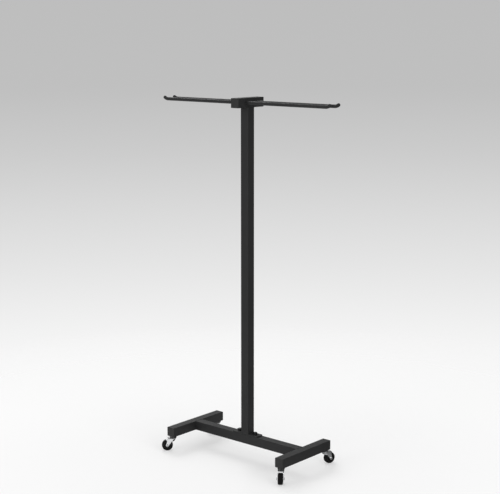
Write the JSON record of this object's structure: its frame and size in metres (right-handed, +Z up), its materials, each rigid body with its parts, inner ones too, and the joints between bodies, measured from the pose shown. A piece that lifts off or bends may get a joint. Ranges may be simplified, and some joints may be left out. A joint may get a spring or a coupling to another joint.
{
  "type": "racket display stand",
  "caption": "Wheeled black steel display stand: two parallel rails through a short head tube on a square post, bolted to an H-shaped base on small swivel casters.",
  "frame": {"origin": "on the floor under the axis of the post", "axes": "+Z up; X along the beam and the rails; Y along the feet and the head tube, with -Y at the front"},
  "size_m": [0.562, 0.2395, 0.96],
  "materials": {
    "powder_coat": "black powder coat with a fine texture, semi-matt",
    "black_plastic": "black moulded plastic, lightly grained",
    "black_oxide": "blackened steel, lightly oiled",
    "bright_zinc": "bright zinc plate on pressed steel",
    "nylon": "black moulded nylon",
    "tread_rubber": "black rubber, dull"
  },
  "bodies": {
    "frame": {"base_beam": "powder_coat", "left_foot": "powder_coat", "right_foot": "powder_coat", "post": "powder_coat", "post_base_plate": "powder_coat", "head_tube": "powder_coat", "front_rail": "powder_coat", "back_rail": "powder_coat", "front_left_foot_cap": "black_plastic", "front_right_foot_cap": "black_plastic", "back_left_foot_cap": "black_plastic", "back_right_foot_cap": "black_plastic", "front_head_cap": "black_plastic", "back_head_cap": "black_plastic", "left_base_bolt": "black_oxide", "left_upper_washer": "black_oxide", "left_base_nut": "black_oxide", "right_base_bolt": "black_oxide", "right_upper_washer": "black_oxide", "right_base_nut": "black_oxide", "front_left_weld_nut": "bright_zinc", "front_right_weld_nut": "bright_zinc", "back_left_weld_nut": "bright_zinc", "back_right_weld_nut": "bright_zinc", "front_left_caster_stem": "bright_zinc", "front_left_caster_upper_race": "bright_zinc", "front_right_caster_stem": "bright_zinc", "front_right_caster_upper_race": "bright_zinc", "back_left_caster_stem": "bright_zinc", "back_left_caster_upper_race": "bright_zinc", "back_right_caster_stem": "bright_zinc", "back_right_caster_upper_race": "bright_zinc"},
    "front_left_swivel": {"front_left_caster_fork": "bright_zinc", "front_left_caster_axle": "bright_zinc"},
    "front_left_wheel": {"front_left_caster_wheel_core": "nylon", "front_left_caster_tyre": "tread_rubber"},
    "front_right_swivel": {"front_right_caster_fork": "bright_zinc", "front_right_caster_axle": "bright_zinc"},
    "front_right_wheel": {"front_right_caster_wheel_core": "nylon", "front_right_caster_tyre": "tread_rubber"},
    "back_left_swivel": {"back_left_caster_fork": "bright_zinc", "back_left_caster_axle": "bright_zinc"},
    "back_left_wheel": {"back_left_caster_wheel_core": "nylon", "back_left_caster_tyre": "tread_rubber"},
    "back_right_swivel": {"back_right_caster_fork": "bright_zinc", "back_right_caster_axle": "bright_zinc"},
    "back_right_wheel": {"back_right_caster_wheel_core": "nylon", "back_right_caster_tyre": "tread_rubber"}
  },
  "joints": [
    {"name": "front_left_caster_swivel", "type": "hinge", "parent": "frame", "child": "front_left_swivel", "pos_m": [-0.19, -0.09, 0.0353], "axis": [0, 0, 1], "continuous": true},
    {"name": "front_left_wheel_spin", "type": "hinge", "parent": "front_left_swivel", "child": "front_left_wheel", "pos_m": [-0.20111, -0.10151, 0.015], "axis": [0.7193, -0.6947, 0], "continuous": true},
    {"name": "front_right_caster_swivel", "type": "hinge", "parent": "frame", "child": "front_right_swivel", "pos_m": [0.19, -0.09, 0.0353], "axis": [0, 0, 1], "continuous": true},
    {"name": "front_right_wheel_spin", "type": "hinge", "parent": "front_right_swivel", "child": "front_right_wheel", "pos_m": [0.19895, -0.10326, 0.015], "axis": [0.829, 0.5592, 0], "continuous": true},
    {"name": "back_left_caster_swivel", "type": "hinge", "parent": "frame", "child": "back_left_swivel", "pos_m": [-0.19, 0.09, 0.0353], "axis": [0, 0, 1], "continuous": true},
    {"name": "back_left_wheel_spin", "type": "hinge", "parent": "back_left_swivel", "child": "back_left_wheel", "pos_m": [-0.2045, 0.08324, 0.015], "axis": [0.4226, -0.9063, 0], "continuous": true},
    {"name": "back_right_caster_swivel", "type": "hinge", "parent": "frame", "child": "back_right_swivel", "pos_m": [0.19, 0.09, 0.0353], "axis": [0, 0, 1], "continuous": true},
    {"name": "back_right_wheel_spin", "type": "hinge", "parent": "back_right_swivel", "child": "back_right_wheel", "pos_m": [0.19441, 0.10538, 0.015], "axis": [-0.9613, 0.2756, 0], "continuous": true}
  ]
}
